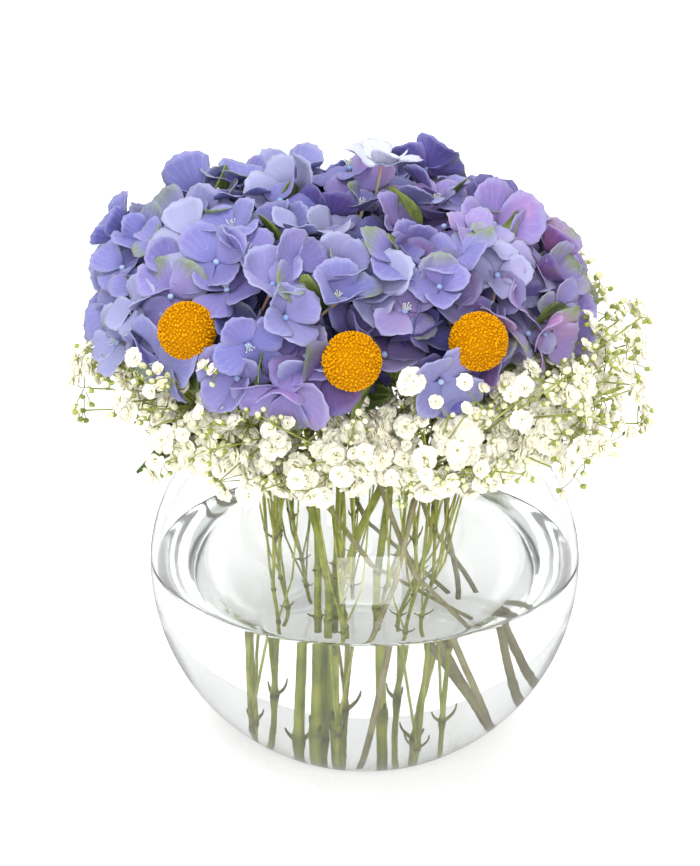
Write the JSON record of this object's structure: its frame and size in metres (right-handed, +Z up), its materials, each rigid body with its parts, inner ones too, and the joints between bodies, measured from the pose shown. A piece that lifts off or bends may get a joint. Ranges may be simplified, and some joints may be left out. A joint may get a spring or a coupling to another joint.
{
  "type": "flower arrangement in a vase",
  "caption": "Low round arrangement of blue hydrangeas, yellow billy buttons and white baby's breath in a clear glass fish bowl vase of water.",
  "frame": {"origin": "centre of the bowl's flat underside, on the surface that it stands on", "axes": "+Z up, +X to the right and -Y towards the front, the side with three billy buttons in view"},
  "size_m": [0.2444, 0.2444, 0.274],
  "materials": {
    "vase_glass": "clear, smooth blown glass",
    "water": "clear still water",
    "hydrangea_petals": "soft matt petals, periwinkle blue turning to lilac",
    "hydrangea_stem": "fresh green stem, satin",
    "billy_button": "dense matt golden florets",
    "billy_button_stem": "grey-brown dry stem, matt",
    "babys_breath": "matt white petals with green calyxes",
    "babys_breath_stem": "thin yellow-green stem, satin",
    "leaf": "olive green leaf, satin"
  },
  "bodies": {
    "root": {"vase": "vase_glass", "water": "water", "hydrangea_stem_top": "hydrangea_stem", "hydrangea_head_top": "hydrangea_petals", "hydrangea_stem_front_left": "hydrangea_stem", "hydrangea_head_front_left": "hydrangea_petals", "hydrangea_stem_front_right": "hydrangea_stem", "hydrangea_head_front_right": "hydrangea_petals", "hydrangea_stem_back_right": "hydrangea_stem", "hydrangea_head_back_right": "hydrangea_petals", "hydrangea_stem_back_left": "hydrangea_stem", "hydrangea_head_back_left": "hydrangea_petals", "billy_button_stem_1": "billy_button_stem", "billy_button_1": "billy_button", "billy_button_stem_2": "billy_button_stem", "billy_button_2": "billy_button", "billy_button_stem_3": "billy_button_stem", "billy_button_3": "billy_button", "billy_button_stem_4": "billy_button_stem", "billy_button_4": "billy_button", "billy_button_stem_5": "billy_button_stem", "billy_button_5": "billy_button", "billy_button_stem_6": "billy_button_stem", "billy_button_6": "billy_button", "babys_breath_stem_1": "babys_breath_stem", "babys_breath_1": "babys_breath", "babys_breath_stem_2": "babys_breath_stem", "babys_breath_2": "babys_breath", "babys_breath_stem_3": "babys_breath_stem", "babys_breath_3": "babys_breath", "babys_breath_stem_4": "babys_breath_stem", "babys_breath_4": "babys_breath", "babys_breath_stem_5": "babys_breath_stem", "babys_breath_5": "babys_breath", "babys_breath_stem_6": "babys_breath_stem", "babys_breath_6": "babys_breath", "babys_breath_stem_7": "babys_breath_stem", "babys_breath_7": "babys_breath", "babys_breath_stem_8": "babys_breath_stem", "babys_breath_8": "babys_breath", "babys_breath_stem_9": "babys_breath_stem", "babys_breath_9": "babys_breath", "leaf_1": "leaf", "leaf_2": "leaf", "leaf_3": "leaf"}
  },
  "joints": []
}
